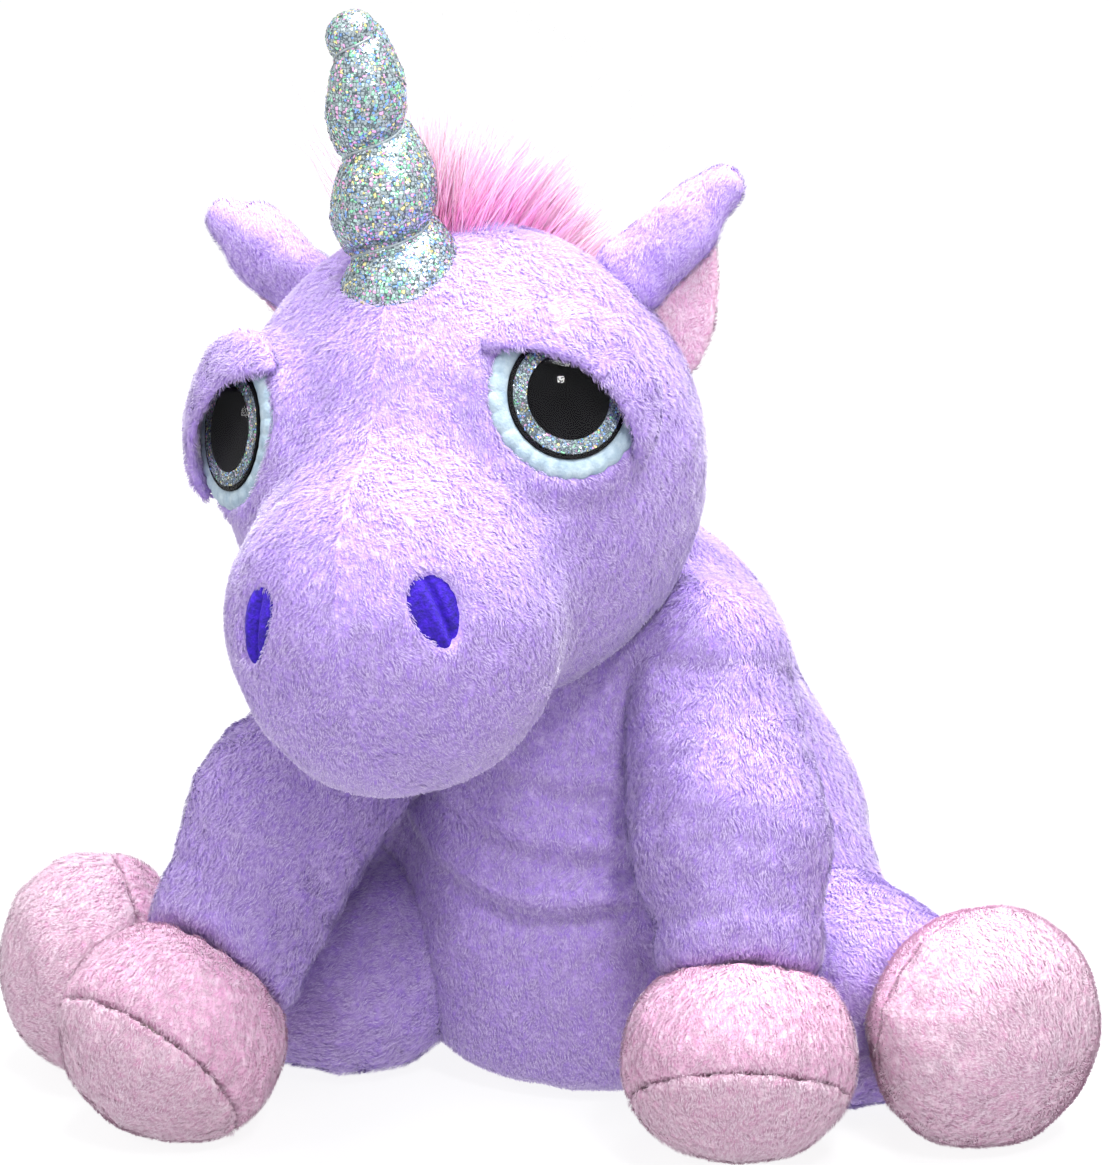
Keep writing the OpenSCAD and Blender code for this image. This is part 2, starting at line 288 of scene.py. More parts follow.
def sheet_of(points, close_u=False, close_v=False):
    """Quads over a grid of points, shape (u, v, 3)."""
    nu, nv = points.shape[:2]
    u = np.arange(nu if close_u else nu - 1)
    v = np.arange(nv if close_v else nv - 1)
    i, j = [x.reshape(-1) for x in np.meshgrid(u, v, indexing="ij")]
    i2, j2 = (i + 1) % nu, (j + 1) % nv
    return points.reshape(-1, 3), np.stack([i * nv + j, i2 * nv + j, i2 * nv + j2, i * nv + j2], 1)


# ---- materials ----

# Colours are written as three values of 0 to 255, as on a screen.

def linear(c):
    return c / 12.92 if c <= 0.04045 else ((c + 0.055) / 1.055) ** 2.4


def srgb(r, g, b):
    """The linear colour, with alpha 1."""
    return linear(r / 255), linear(g / 255), linear(b / 255), 1.0


def principled(name, colour, roughness=0.6, **sockets):
    material = bpy.data.materials.new(name)
    material.use_nodes = True
    shader = shader_of(material)
    shader.inputs["Base Color"].default_value = srgb(*colour)
    shader.inputs["Roughness"].default_value = roughness
    for key, value in sockets.items():
        shader.inputs[key.replace("_", " ")].default_value = value
    return material


def add(material, kind, **settings):
    made = material.node_tree.nodes.new("ShaderNode" + kind)
    for key, value in settings.items():
        if key in made.inputs:
            made.inputs[key].default_value = value
        else:
            setattr(made, key, value)
    return made


def wire(material, source, output, target, socket):
    material.node_tree.links.new(source.outputs[output], target.inputs[socket])


def shader_of(material):
    return material.node_tree.nodes["Principled BSDF"]


def noise_ramp(material, scale, stops, detail=3.0):
    """Noise through a colour ramp, wired to the base colour. Returns the coordinates node."""
    place = add(material, "TexCoord")
    noise = add(material, "TexNoise", Scale=scale, Detail=detail)
    ramp = add(material, "ValToRGB")
    wire(material, place, "Object", noise, "Vector")
    wire(material, noise, "Fac", ramp, "Fac")
    element = ramp.color_ramp.elements
    for i, (position, colour) in enumerate(stops):
        made = element[i] if i < 2 else element.new(position)
        made.position, made.color = position, srgb(*colour)
    wire(material, ramp, "Color", shader_of(material), "Base Color")
    return place


def add_bump(material, place, kind, scale, strength, distance, **settings):
    texture = add(material, kind, Scale=scale, **settings)
    bump = add(material, "Bump", Strength=strength, Distance=distance)
    wire(material, place, "Object", texture, "Vector")
    wire(material, texture, "Distance" if kind == "TexVoronoi" else "Fac", bump, "Height")
    wire(material, bump, "Normal", shader_of(material), "Normal")


def plush(name, deep, mid, pale):
    """The backing and root of a plush pile: mottled, soft and with a sheen."""
    m = principled(name, mid, 0.95, Sheen_Weight=0.5, Sheen_Roughness=0.5, Sheen_Tint=srgb(*pale))
    place = noise_ramp(m, 420.0, ((0.35, deep), (0.52, mid), (0.7, pale)))
    add_bump(m, place, "TexNoise", 900.0, 0.6, 0.0012, Detail=2.0)
    return m


def pile_set(name, roots, tips):
    """Strand materials: the root tones, then the tip tones."""
    made = [principled(f"{name}_root_{i}", c, 0.8, Sheen_Weight=0.3, Sheen_Roughness=0.4)
            for i, c in enumerate(roots)]
    made += [principled(f"{name}_tip_{i}", c, 0.7, Sheen_Weight=0.5, Sheen_Roughness=0.4)
             for i, c in enumerate(tips)]
    return made, len(roots), len(tips)


# Places of the colour sockets on a Mix node, and where the sparks start on the glitter's ramp
COLOUR_A, COLOUR_B, COLOUR_RESULT = 6, 7, 2
SPARKS_FROM = 0.62


def glitter(name, scale, base, dark, spark):
    """Foil cells: a dark grid, pale cells and a few coloured sparks, metallic and glossy."""
    m = principled(name, base, 0.35, Metallic=0.55)
    place = add(m, "TexCoord")
    cells = add(m, "TexVoronoi", Scale=scale, Randomness=0.55)
    edges = add(m, "TexVoronoi", feature="DISTANCE_TO_EDGE", Scale=scale, Randomness=0.55)
    split = add(m, "SeparateColor")
    pick = add(m, "ValToRGB")
    grid = add(m, "ValToRGB")
    mix = add(m, "Mix", data_type="RGBA", blend_type="MULTIPLY")
    mix.inputs[0].default_value = 1.0
    wire(m, place, "Object", cells, "Vector")
    wire(m, place, "Object", edges, "Vector")
    wire(m, cells, "Color", split, "Color")
    wire(m, split, "Red", pick, "Fac")
    pick.color_ramp.interpolation = "CONSTANT"
    element = pick.color_ramp.elements
    element[0].color = srgb(*base)
    element[1].position, element[1].color = SPARKS_FROM, srgb(*spark[0])
    for i, colour in enumerate(spark[1:]):
        element.new(SPARKS_FROM + (1 - SPARKS_FROM) * (i + 1) / len(spark)).color = srgb(*colour)
    wire(m, edges, "Distance", grid, "Fac")
    grid.color_ramp.elements[0].color = srgb(*dark)
    grid.color_ramp.elements[1].position = 0.16
    wire(m, pick, "Color", mix, COLOUR_A)
    wire(m, grid, "Color", mix, COLOUR_B)
    shader = shader_of(m)
    wire(m, mix, COLOUR_RESULT, shader, "Base Color")
    bump = add(m, "Bump", Strength=0.35, Distance=0.0004)
    wire(m, edges, "Distance", bump, "Height")
    wire(m, bump, "Normal", shader, "Normal")
    return m


def clear(name):
    """Clear moulded plastic: gloss on what lies behind it."""
    m = bpy.data.materials.new(name)
    m.use_nodes = True
    tree = m.node_tree
    tree.nodes.remove(tree.nodes["Principled BSDF"])
    through = add(m, "BsdfTransparent")
    gloss = add(m, "BsdfGlossy", Roughness=0.03)
    mix = add(m, "MixShader")
    mix.inputs[0].default_value = 0.012
    tree.links.new(through.outputs[0], mix.inputs[1])
    tree.links.new(gloss.outputs[0], mix.inputs[2])
    tree.links.new(mix.outputs[0], tree.nodes["Material Output"].inputs["Surface"])
    return m


WHITE = (245, 245, 248)
# The lilac backing is as dark as the pile's roots and darker than its tips: painted shade between the tufts.
LILAC_DEEP, LILAC, LILAC_PALE = (160, 130, 212), (175, 149, 216), (192, 172, 222)
PINK_DEEP, PINK, PINK_PALE = (214, 160, 194), (220, 178, 204), (226, 200, 216)

lilac_plush = plush("lilac_plush", LILAC_DEEP, LILAC, LILAC_PALE)
pink_plush = plush("pink_plush", PINK_DEEP, PINK, PINK_PALE)
sole_plush = plush("pink_sole_plush", (200, 150, 180), (212, 180, 198), (222, 202, 214))
# The root tones of the lilac, pink and sole piles are darker and more saturated than their tips: painted
# shade at the foot of the pile. The fluff's pink roots are the fluff's own colour.
lilac_pile = pile_set(
    "lilac_pile", [(169, 142, 214), (176, 151, 216)],
    [(186, 163, 219), (192, 172, 222), (201, 184, 227)])
pink_pile = pile_set(
    "pink_pile", [(200, 150, 182), (204, 160, 188)],
    [(209, 172, 196), (212, 181, 201), (216, 191, 207)])
sole_pile = pile_set(
    "sole_pile", [(206, 163, 191), (210, 173, 196)],
    [(214, 184, 204), (218, 193, 210), (222, 202, 216)])
fluff_pile = pile_set(
    "fluff_pile", [(248, 158, 212), (248, 188, 224)],
    [(250, 208, 230), (250, 228, 238), (252, 242, 246)])
SPARKS = [(190, 225, 215), (160, 235, 190), (150, 190, 255), (245, 190, 235), (250, 240, 170)]
horn_glitter = glitter("horn_glitter", 950.0, (164, 178, 184), (84, 98, 102), SPARKS)
iris_glitter = glitter("iris_glitter", 1500.0, (150, 166, 182), (30, 38, 46), SPARKS)
clear_dome = clear("clear_dome")


# ---- pile ----

# Numbers that turn a cell of the clump lattice into its jitter
HASH_CELL = np.array([73856093, 19349663, 83492791])
HASH_PRIME = 9973
HASH_JITTER = (2654435761 % HASH_PRIME, 40503, 60493)
HASH_SEED = 7919
STRANDS_PER_MESH = 62000
ROOT_DEPTH = 0.3


def scattered(rng, area, density):
    """Faces drawn at random, in proportion to their area."""
    total = area.sum()
    pick = np.searchsorted(np.cumsum(area), rng.random(int(total * density)) * total)
    return np.minimum(pick, len(area) - 1)


def clump_pull(p, size, seed):
    """Vector to the nearest clump's centre in a jittered lattice of that size, and the clump's tone."""
    base = np.floor(p / size).astype(np.int64)
    best = np.full(len(p), 1e9)
    pull = np.zeros_like(p)
    tone = np.zeros(len(p))
    for step in itertools.product((-1, 0, 1), repeat=3):
        cell = base + np.array(step)
        key = (cell * HASH_CELL).sum(1) + seed * HASH_SEED
        jitter = np.stack([((key * m) % HASH_PRIME) / HASH_PRIME for m in HASH_JITTER], -1)
        toward = (cell + jitter) * size - p
        d = (toward * toward).sum(1)
        near = d < best
        best[near], pull[near], tone[near] = d[near], toward[near], jitter[near, 0]
    return pull, tone


def pile(name, verts, quads, body, slot, stuff, seed, length=1.7, density=3.6, width=0.2,
         flow=None, keep=None, clump=2.6, lean=(1.0, 1.35), gather=0.2, wander=0.35):
    """Fine tapered strands rooted over a surface, gathered in tufts, which ride with it."""
    materials, roots, tips = stuff
    rng = np.random.default_rng(seed)
    normals = vertex_normals(verts, quads)
    tris = np.concatenate([quads[:, [0, 1, 2]], quads[:, [0, 2, 3]]])
    edge_a, edge_b = verts[tris[:, 1]] - verts[tris[:, 0]], verts[tris[:, 2]] - verts[tris[:, 0]]
    pick = scattered(rng, np.linalg.norm(np.cross(edge_a, edge_b), axis=1) / 2, density)
    a, b = rng.random((2, len(pick)))
    over = a + b > 1
    a[over], b[over] = 1 - a[over], 1 - b[over]
    mix = np.stack([1 - a - b, a, b], -1)[..., None]
    p = (verts[tris[pick]] * mix).sum(1)
    n = unit((normals[tris[pick]] * mix).sum(1))
    if keep is not None:
        kept = keep(p)
        p, n = p[kept], n[kept]
    count = len(p)
    down = flow(p) if flow else np.tile([0.0, 0.0, -1.0], (count, 1))
    along = unit(down - (down * n).sum(1)[:, None] * n + 1e-4)
    across = np.cross(n, along)
    angle = wander * lumps(p, 9.0, seed) * 1.6 + rng.normal(0, wander * 0.55, count)
    t = along * np.cos(angle)[:, None] + across * np.sin(angle)[:, None]
    pull, tone = clump_pull(p, clump, seed)
    pull = pull - (pull * n).sum(1)[:, None] * n
    reach = length * (0.75 + 0.5 * rng.random(count)) * (0.85 + 0.3 * tone)
    tilt = rng.uniform(lean[0], lean[1], count)
    ends = []
    for share, bend in ((0.55, 0.75), (1.0, 1.0)):
        s = (tilt * bend)[:, None]
        way = n * np.cos(s) + t * np.sin(s)
        ends.append(p + way * (reach * share)[:, None] + pull * gather * share ** 1.5)
    middle, tip = ends
    side = unit(np.cross(n, t)) * (width * (0.7 + 0.6 * rng.random(count)) / 2)[:, None]
    foot = p - n * ROOT_DEPTH
    points = np.stack([foot - side, foot + side, middle - side * 0.85, middle + side * 0.85, tip], 1)
    points[..., 2] = np.maximum(points[..., 2], FLOOR_GAP / 3)
    shade = unit(n * 0.8 + unit(tip - foot) * 0.15 + rng.normal(0, 0.07, (count, 3)))
    # Each strand's lower quad takes a root tone and its tip a tip tone; on the plush piles the darker root
    # tones are painted shade at the foot of the pile.
    spread = 0.6 * tone + 0.4 * rng.random(count)
    which_root = np.minimum((spread * roots).astype(int), roots - 1)
    which_tip = roots + np.minimum((spread * tips).astype(int), tips - 1)
    blocks = max(1, math.ceil(count / STRANDS_PER_MESH))
    for k in range(blocks):
        part = np.arange(k, count, blocks)
        new = np.arange(len(part))[:, None] * 5
        chosen = points[part].reshape(-1, 3)
        low_faces, high_faces = new + np.array([[0, 2, 3, 1]]), new + np.array([[2, 4, 3]])
        obj = new_object(
            name if blocks == 1 else f"{name}_{k + 1}", chosen, [low_faces, high_faces], materials,
            np.concatenate([which_root[part], which_tip[part]]), np.repeat(shade[part], 5, axis=0))
        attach(obj, body)


# ---- pieces made from shapes ----

def soft_piece(name, shape, lo, hi, body, slot, material, replaces, step=2.4, pinned=None, cap=0.0,
               detail=None, fill=0.8):
    """A stuffed skin: surface, cloth run, then seams and folds moved along the normals."""
    verts, quads = surface(shape, lo, hi, step * (2 if cap else 1))
    if cap:
        verts = plumped(verts, quads, pinned(verts) if pinned else np.zeros(len(verts), bool), cap)
        verts, quads = refined(verts, quads)
    if detail:
        verts = verts + vertex_normals(verts, quads) * detail(verts)[:, None]
    obj = new_object(name, verts, quads, [material])
    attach(obj, body)
    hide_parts(replaces)
    return verts, quads


def inner_piece(name, shape, lo, hi, body, slot, material, node, seed):
    """Filling inside a skin, lumpy as teased fibre or a bag of pellets is."""
    def lumpy(p):
        return shape(p) + 0.5 * lumps(p, 11.0, seed) + 0.5
    verts, quads = surface(lumpy, lo, hi, 5.0)
    obj = new_object(name, verts, quads, [material])
    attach(obj, body)
    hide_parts(node)


def span(points, margin):
    points = np.asarray(points, float)
    return points.min(0) - margin, points.max(0) + margin


fibre = principled("fibre_fill", WHITE, 0.9, Sheen_Weight=0.4)
place = noise_ramp(fibre, 300.0, ((0.3, (226, 226, 230)), (0.7, WHITE)))
add_bump(fibre, place, "TexNoise", 700.0, 0.8, 0.002)
pellets = principled("pellet_bag", (214, 210, 200), 0.8)
place = noise_ramp(pellets, 500.0, ((0.35, (200, 196, 186)), (0.65, (226, 222, 212))))
add_bump(pellets, place, "TexVoronoi", 280.0, 1.0, 0.002)
INSET = 3.4

# ---- head ----

HEAD_TILT, HEAD_TURN = 9, 2
HEAD = Place(np.array(joints["head_nod"]["pos_m"]) / MM, turn_z(HEAD_TURN) @ turn_y(-HEAD_TILT))
CRANIUM_R, MUZZLE_R = 64.0, 43.0
MUZZLE = np.array([-1.5, -64.0, -29.0])
EYE_AZIMUTH, EYE_ELEVATION, EYE_PROUD = 47, 19, 0.8
NOSTRIL_AZIMUTH, NOSTRIL_ELEVATION = 37, 13
EYES, NOSTRILS = {}, {}
for side, s in SIDES.items():
    at = facing(s * EYE_AZIMUTH, EYE_ELEVATION) * (CRANIUM_R + EYE_PROUD)
    EYES[side] = HEAD.child(at, turn_z(s * 42) @ turn_x(75))
    at = MUZZLE + facing(s * NOSTRIL_AZIMUTH, NOSTRIL_ELEVATION) * MUZZLE_R
    NOSTRILS[side] = HEAD.child(at, turn_z(s * NOSTRIL_AZIMUTH) @ turn_x(77) @ turn_z(s * 8))
NOSTRIL_SEMI = np.array([6.0, 9.2])
NOSTRIL_NARROWING = 0.018
MOUND_R, SOCKET_R = 23.5, 20.0


def nostril_level(side, p):
    """A level below 1 inside the egg outline of a nostril, narrower at its foot, and the depth."""
    q = NOSTRILS[side].into(p)
    half = NOSTRIL_SEMI[0] * (1 + NOSTRIL_NARROWING * q[..., 1])
    return np.sqrt((q[..., 0] / half) ** 2 + (q[..., 1] / NOSTRIL_SEMI[1]) ** 2), q[..., 2]


def off_axis(place, p):
    """Distance of each point from the axis of a place."""
    return np.linalg.norm(place.into(p)[..., :2], axis=-1)


def head_ball(p):
    return np.linalg.norm(p - HEAD.origin, axis=-1) - CRANIUM_R


def head_balls(p):
    q = HEAD.into(p)
    return soft_union(ball(q, (0, 0, 0), CRANIUM_R), ball(q, MUZZLE, MUZZLE_R), 20)


def head_form(p):
    d = head_balls(p)
    for side in SIDES:
        e = EYES[side].into(p)
        round_eye = off_axis(EYES[side], p)
        mound = soft_cut(round_eye - MOUND_R, np.abs(e[..., 2] + 9) - 9.6, 5)
        d = soft_union(d, mound, 7)
        socket = soft_cut(round_eye - SOCKET_R, 0.2 - e[..., 2], 2)
        d = soft_cut(d, -socket, 2)
    for side in SIDES:
        level, depth = nostril_level(side, p)
        pit = soft_cut((level - 1) * 6, np.abs(depth) - 3.0, 1.5)
        d = soft_cut(d, -pit, 2.0)
    return d


def head_detail(p):
    q = HEAD.into(p)
    seam = bell(q[:, 0], 1.6) * (q[:, 1] > -30) * (q[:, 2] > 0)
    return 0.9 * lumps(p, 38, 3) + 0.35 * lumps(p, 13, 4) - 0.5 * seam


HEAD_LO, HEAD_HI = span([HEAD.out([0, 0, 0]), HEAD.out(MUZZLE)], CRANIUM_R + 4)
head_mesh = soft_piece(
    "head_plush", head_form, HEAD_LO, HEAD_HI, "head", "lilac_plush", lilac_plush, "head_skin",
    step=1.9, detail=head_detail, fill=0.9)
inner_piece("head_filling", lambda p: head_balls(p) + INSET, HEAD_LO, HEAD_HI, "head", "fibre_fill", fibre,
            "head_stuffing", 11)


def off_face_fittings(p):
    """Where pile grows on the head: not under the eye surrounds, in the nostrils or under the horn."""
    ok = np.ones(len(p), bool)
    for side in SIDES:
        ok &= ~((off_axis(EYES[side], p) < SOCKET_R + 0.6) & (np.abs(EYES[side].into(p)[:, 2]) < 12))
        level, depth = nostril_level(side, p)
        ok &= ~((level < 1.04) & (np.abs(depth) < 8))
    return ok & ~((off_axis(HORN, p) < 15) & (np.abs(HORN.into(p)[:, 2]) < 15))


def head_flow(p):
    """The nap runs from the crown down over the head, and out and back on both sides."""
    q = HEAD.into(p)
    away = np.stack([0.35 * np.sign(q[:, 0]), 0.25 * np.ones(len(p)), -np.ones(len(p))], -1)
    return away @ HEAD.axes.T


HORN = HEAD.child(facing(-4, 67.5) * (CRANIUM_R - 4), turn_y(1) @ turn_x(6))
pile("head_pile", *head_mesh, "head", "lilac_plush", lilac_pile, 21, flow=head_flow, keep=off_face_fittings)

# ---- eyelids ----

LID_LEAN = 47
LID_BULGE = 0.4
LID_OUTER, LID_INNER = 26.0, 21.2
LID_PROUD = 17
OPENING_AT, OPENING_R = 31.0, 36.5


def lid_form(side):
    s = SIDES[side]
    lean = math.radians(LID_LEAN)
    up = np.array([s * math.sin(lean), math.cos(lean)])

    def form(p):
        e = EYES[side].into(p)
        swell = np.stack([e[..., 0], e[..., 1], e[..., 2] / LID_BULGE], -1)
        reach = np.linalg.norm(swell, axis=-1)
        shell = soft_cut(reach - LID_OUTER, LID_INNER - reach, 4)
        shell = soft_cut(shell, ball(HEAD.into(p), (0, 0, 0), CRANIUM_R + LID_PROUD), 5)
        opening = np.linalg.norm(e[..., :2] + up * OPENING_AT, axis=-1) - OPENING_R
        d = soft_cut(shell, -opening, 4)
        return soft_cut(d, -1.5 - e[..., 2], 3)
    return form


for side, s in SIDES.items():
    eye = EYES[side]
    lid = soft_piece(
        f"eye_{side}_eyelid", lid_form(side), *span([eye.origin], 31), "head", "lilac_long_pile", lilac_plush,
        f"eye_{side}_lid", step=1.3, detail=lambda p: 0.4 * lumps(p, 12, 8), fill=0.7)

    def lid_flow(p):
        out = np.stack([s * 0.6 * np.ones(len(p)), -np.ones(len(p)), np.zeros(len(p))], -1)
        return out @ eye.axes.T

    pile(f"eye_{side}_lid_pile", *lid, "head", "lilac_long_pile", lilac_pile, 31 + s, length=2.0, density=3.4,
         flow=lid_flow, clump=4, wander=0.6)

# ---- horn ----

HORN_LEN, HORN_PITCH, HORN_FIRST = 69.5, 26.0, 3.0
HORN_FOOT, HORN_CAP = -8.0, 8.0
GROOVE_FROM, GROOVE_FRONT = 200.0, 290.0


def groove_z(angle):
    """Height of the spiral groove at an angle in degrees round the horn."""
    lean = 2.5 * np.sin(np.radians(angle - GROOVE_FRONT))
    return HORN_FIRST + HORN_PITCH * (angle - GROOVE_FROM) / 360 - lean


def horn_radius(angle, z):
    turns = np.round((z - groove_z(angle)) / HORN_PITCH)
    miss = z - groove_z(angle) - turns * HORN_PITCH
    taper = 16.2 - 0.125 * z
    swell = 1 + 0.07 * np.cos(miss / HORN_PITCH * 2 * math.pi + math.pi) + 0.02 * miss / HORN_PITCH
    groove = 0.14 * bell(miss, 2.2) + 0.07 * bell(miss, 7.0)
    cap = np.sqrt(np.clip(1 - (np.maximum(z - (HORN_LEN - HORN_CAP), 0) / HORN_CAP) ** 2, 0, 1))
    wrinkle = 0.012 * np.cos(np.radians(angle) * 9 + z) * bell(miss, 6)
    return taper * (swell - groove + wrinkle) * cap


def round_horn(angle, r, z):
    """Points from an angle in degrees round the horn, a radius and a height."""
    return np.stack([r * np.cos(np.radians(angle)), r * np.sin(np.radians(angle)), z], -1)


cap_heights = HORN_LEN - HORN_CAP + HORN_CAP * np.sin(np.linspace(0.03, math.pi / 2, 24))
heights = np.concatenate([np.linspace(HORN_FOOT, HORN_LEN - HORN_CAP, 170), cap_heights])
z, a = np.meshgrid(heights, circle(144, 360), indexing="ij")
horn_verts, horn_quads = sheet_of(HORN.out(round_horn(a, horn_radius(a, z), z)), close_v=True)
horn_quads = horn_quads[:, ::-1]
horn = new_object("horn_knit", horn_verts, horn_quads, [horn_glitter])
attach(horn, "head")
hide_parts("horn_skin")

THREAD_R = 0.35
thread_angle = np.linspace(GROOVE_FROM - 80, GROOVE_FROM + 2.35 * 360, 400)
thread_z = groove_z(thread_angle)
course = round_horn(thread_angle, horn_radius(thread_angle, thread_z) + 0.1, thread_z)
ahead = unit(np.gradient(course, axis=0))
outward = unit(np.stack([course[:, 0], course[:, 1], 0 * thread_z], -1))
sideways = unit(np.cross(ahead, outward))
ring = circle(8)[:, None]
tube = course[:, None] + THREAD_R * (outward[:, None] * np.cos(ring) + sideways[:, None] * np.sin(ring))
silver_thread = principled("silver_thread", (150, 160, 164), 0.5, Metallic=0.3)
noise_ramp(silver_thread, 1500.0, ((0.3, (132, 144, 150)), (0.7, (176, 186, 190))))
thread = new_object("horn_spiral_thread", *sheet_of(HORN.out(tube), close_v=True), [silver_thread])
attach(thread, "head")
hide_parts("horn_thread")


FLAKE_COLOURS = [(184, 196, 202), (110, 122, 128), (150, 235, 190), (140, 185, 255),
                 (250, 175, 230), (252, 240, 160)]


def flakes(name, verts, quads, weights, density, size, seed, keep=None, proud=0.12, jitter=0.16):
    """Hexagonal foil flakes laid over a surface, each a little out of true so that it catches the light."""
    rng = np.random.default_rng(seed)
    normals = vertex_normals(verts, quads)
    pick = scattered(rng, np.linalg.norm(face_normals(verts, quads), axis=1) / 2, density)
    u, v = rng.random((2, len(pick), 1))
    corner = verts[quads[pick]]
    low, high = corner[:, 0] * (1 - u) + corner[:, 1] * u, corner[:, 3] * (1 - u) + corner[:, 2] * u
    p = low * (1 - v) + high * v
    n = unit(normals[quads[pick]].mean(1))
    if keep is not None:
        kept = keep(p)
        p, n = p[kept], n[kept]
    n = unit(n + rng.normal(0, jitter, n.shape))
    t = unit(np.cross(n, rng.normal(size=n.shape)))
    b = np.cross(n, t)
    turn = np.arange(6) * math.pi / 3
    r = size * rng.uniform(0.7, 1.25, len(p))
    points = (p + n * proud)[:, None] + r[:, None, None] * (
        t[:, None] * np.cos(turn)[None, :, None] + b[:, None] * np.sin(turn)[None, :, None])
    faces = np.arange(len(p) * 6).reshape(-1, 6)
    materials = [principled(f"{name}_{i}", c, 0.22, Metallic=0.9) for i, c in enumerate(FLAKE_COLOURS)]
    which = rng.choice(len(weights), len(p), p=np.array(weights) / sum(weights))
    obj = new_object(name, points.reshape(-1, 3), faces, materials, which)
    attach(obj, "head")


flakes("horn_flakes", horn_verts, horn_quads, [46, 30, 7, 7, 4, 4], 1.4, 0.34, 41)


def horn_core(p):
    z = HORN.into(p)[..., 2]
    return np.maximum(np.maximum(off_axis(HORN, p) - (12.2 - 0.115 * z), z - 66), -1 - z)


inner_piece("horn_filling", horn_core, *span([HORN.out([0, 0, 0]), HORN.out([0, 0, HORN_LEN])], 20), "head",
            "fibre_fill", fibre, "horn_stuffing", 12)

# ---- eyes ----

felt = principled("pale_felt", (150, 168, 181), 0.85)
place = noise_ramp(felt, 350.0, (
    (0.3, (134, 154, 170)), (0.5, (151, 169, 182)), (0.7, (170, 186, 195))))
add_bump(felt, place, "TexNoise", 1400.0, 0.4, 0.0006)
ink = principled("black_plastic", (8, 8, 10), 0.35, Specular_IOR_Level=0.02)
noise_ramp(ink, 200.0, ((0.3, (5, 5, 7)), (0.7, (11, 11, 14))))
white_plastic = principled("white_plastic", (232, 232, 230), 0.4)
noise_ramp(white_plastic, 90.0, ((0.3, (222, 222, 220)), (0.7, (240, 240, 238))))


FELT_INNER, FELT_OUTER, FELT_HEIGHT = 14.6, 21.0, 2.0
SCALLOPS, SCALLOP_DEPTH = 26, 0.6


def felt_ring(eye):
    """A puffed ring round an eye, gathered in scallops along its outer edge."""
    turn = circle(360)[:, None]
    arc = circle(24)[None, :]
    ripple = np.abs(np.sin(turn * SCALLOPS / 2 + 0.6 * np.sin(turn * 3)))
    middle, half = (FELT_INNER + FELT_OUTER) / 2, (FELT_OUTER - FELT_INNER) / 2
    out_share = (1 + np.cos(arc)) / 2
    r = middle + half * np.cos(arc) + SCALLOP_DEPTH * (ripple - 0.6) * out_share ** 2
    z = 0.7 + FELT_HEIGHT * np.sin(arc) * (0.85 + 0.25 * ripple * out_share)
    ring = np.stack([r * np.cos(turn), r * np.sin(turn), z + 0 * r], -1)
    return sheet_of(eye.out(ring), close_u=True, close_v=True)


def flat_ring(eye, inner, outer, rows, height):
    """A flat ring of quads at a height above an eye's base."""
    r = np.linspace(inner, outer, rows)[:, None]
    a = circle(96)[None, :]
    return sheet_of(eye.out(np.stack([r * np.cos(a), r * np.sin(a), height + 0 * r * a], -1)), close_v=True)


PUPIL_R, IRIS_MID, IRIS_R = 11.2, 13.2, 14.9
EYE_MATERIALS = {
    "backplate": ink, "pupil": ink, "washer": white_plastic, "dome": clear_dome, "iris": iris_glitter}
for side in SIDES:
    eye = EYES[side]
    surround = new_object(f"eye_{side}_scalloped_ring", *felt_ring(eye), [felt])
    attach(surround, "head")
    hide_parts(f"eye_{side}_surround")
    for part, material in EYE_MATERIALS.items():
        mesh = frame["nodes"][f"eye_{side}_{part}"].data
        mesh.materials.clear()
        mesh.materials.append(material)
    pupil = new_object(f"eye_{side}_pupil_print", *flat_ring(eye, 0.05, PUPIL_R, 12, 3.3), [ink])
    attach(pupil, "head")
    disc = flat_ring(eye, PUPIL_R - 0.3, IRIS_R, 8, 3.12)
    zones = ((PUPIL_R - 0.2, IRIS_MID, [50, 30, 3, 4, 2, 2]), (IRIS_MID, IRIS_R, [16, 70, 3, 5, 2, 2]))
    for zone, (low, high, weights) in enumerate(zones):
        flakes(f"eye_{side}_iris_flakes_{zone}", *disc, weights, 3.2, 0.26, 43 + zone, proud=0.06, jitter=0.1,
               keep=lambda p: (off_axis(eye, p) > low) & (off_axis(eye, p) < high))

# ---- nostrils ----

velvet = principled("violet_velvet", (44, 2, 160), 0.9, Sheen_Weight=0.3, Sheen_Roughness=0.3,
                    Sheen_Tint=srgb(120, 80, 255))
place = noise_ramp(velvet, 700.0, (
    (0.3, (26, 0, 116)), (0.55, (44, 2, 164)), (0.75, (62, 16, 196))))
add_bump(velvet, place, "TexNoise", 1600.0, 0.6, 0.0008)
for side in SIDES:
    spot = NOSTRILS[side]
    share = np.linspace(0, 1, 22)[:, None]
    turn = circle(72)[None, :]
    x = NOSTRIL_SEMI[0] * 1.12 * share * np.cos(turn)
    y = NOSTRIL_SEMI[1] * 1.1 * share * np.sin(turn)
    x = x * (1 + NOSTRIL_NARROWING * y)
    fold = 1.5 * bell(x - 0.9 + 0.06 * y, 1.1) - 0.9 * bell(x + 1.6 + 0.08 * y, 1.6)
    z = -1.9 + 1.2 * (1 - share ** 2) - fold * (1 - share ** 4) - 0.8 * share ** 6
    top = np.stack([x, y, z], -1)
    under = np.stack([x, y, z - 1.2], -1)[::-1]
    skin = sheet_of(spot.out(np.concatenate([top, under])), close_v=True)
    nostril = new_object(f"nostril_{side}_velvet", *skin, [velvet])
    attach(nostril, "head")
    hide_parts(f"nostril_{side}")

# ---- ears ----

EAR_MOVE = {"left": np.zeros(3), "right": np.array([6.0, 0.0, 6.0])}
EAR_WIDTH = {"left": 10.5, "right": 9.0}


